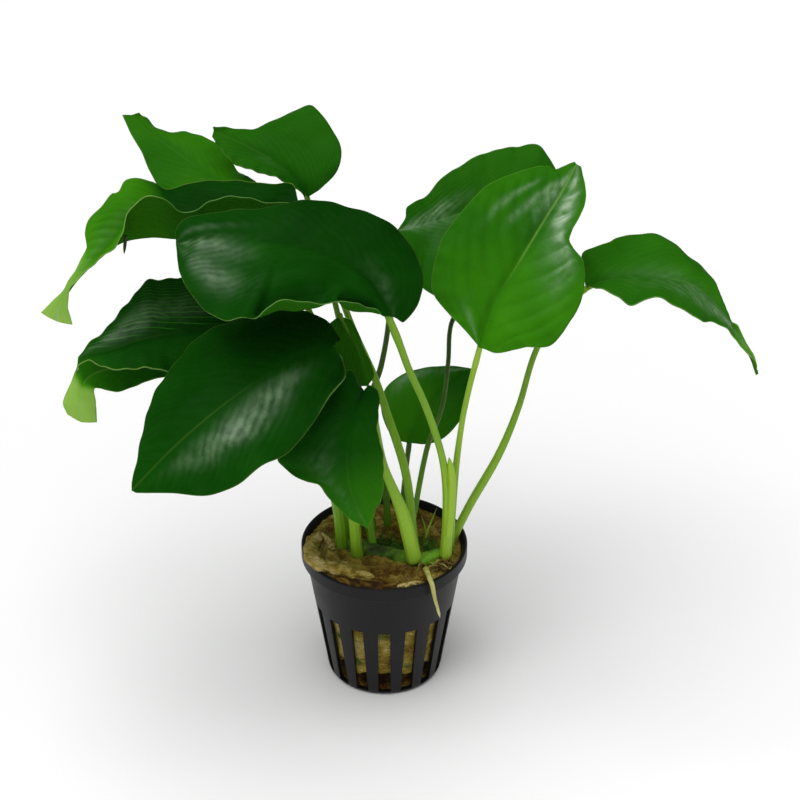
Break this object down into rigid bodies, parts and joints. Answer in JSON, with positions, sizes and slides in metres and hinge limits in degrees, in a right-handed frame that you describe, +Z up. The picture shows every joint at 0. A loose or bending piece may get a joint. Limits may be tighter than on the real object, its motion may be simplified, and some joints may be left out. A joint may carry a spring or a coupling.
{
  "type": "anubias barteri in a net pot",
  "caption": "Broad-leaved aquarium plant on long stems, with a creeping rhizome and a hanging root, in a slotted black net pot filled with rock wool.",
  "frame": {"origin": "centre of the pot's underside, on the surface that it stands on", "axes": "+Z up the pot's axis, -Y towards the front from which the picture sees the plant, +X to the right from there"},
  "size_m": [0.2265, 0.1227, 0.184],
  "materials": {
    "pot_plastic": "satin black moulded plastic",
    "rock_wool": "damp yellow-brown mineral fibre",
    "rhizome": "pale green scarred skin",
    "root": "matte pale cream",
    "stem": "smooth light green stalk",
    "leaf_dark": "glossy dark green blade, paler below",
    "leaf_mid": "satin green blade with fine parallel veins",
    "leaf_olive": "dull olive green blade",
    "leaf_bright": "glossy fresh green blade"
  },
  "bodies": {
    "root": {"net_pot": "pot_plastic", "rock_wool": "rock_wool", "rhizome": "rhizome", "hanging_root": "root", "leaf_front_large": "leaf_dark", "stem_front_large": "stem", "leaf_front_hanging": "leaf_dark", "stem_front_hanging": "stem", "leaf_inner": "leaf_olive", "stem_inner": "stem", "leaf_left_middle": "leaf_dark", "stem_left_middle": "stem", "leaf_left_low": "leaf_mid", "stem_left_low": "stem", "leaf_left_arching": "leaf_bright", "stem_left_arching": "stem", "leaf_top_large": "leaf_dark", "stem_top_large": "stem", "leaf_back_left": "leaf_mid", "stem_back_left": "stem", "leaf_back_top": "leaf_mid", "stem_back_top": "stem", "leaf_right_back": "leaf_mid", "stem_right_back": "stem", "leaf_right_inner": "leaf_mid", "stem_right_inner": "stem", "leaf_right_bright": "leaf_bright", "stem_right_bright": "stem", "leaf_right_drooping": "leaf_mid", "stem_right_drooping": "stem", "leaf_back_low": "leaf_mid", "stem_back_low": "stem"}
  },
  "joints": []
}
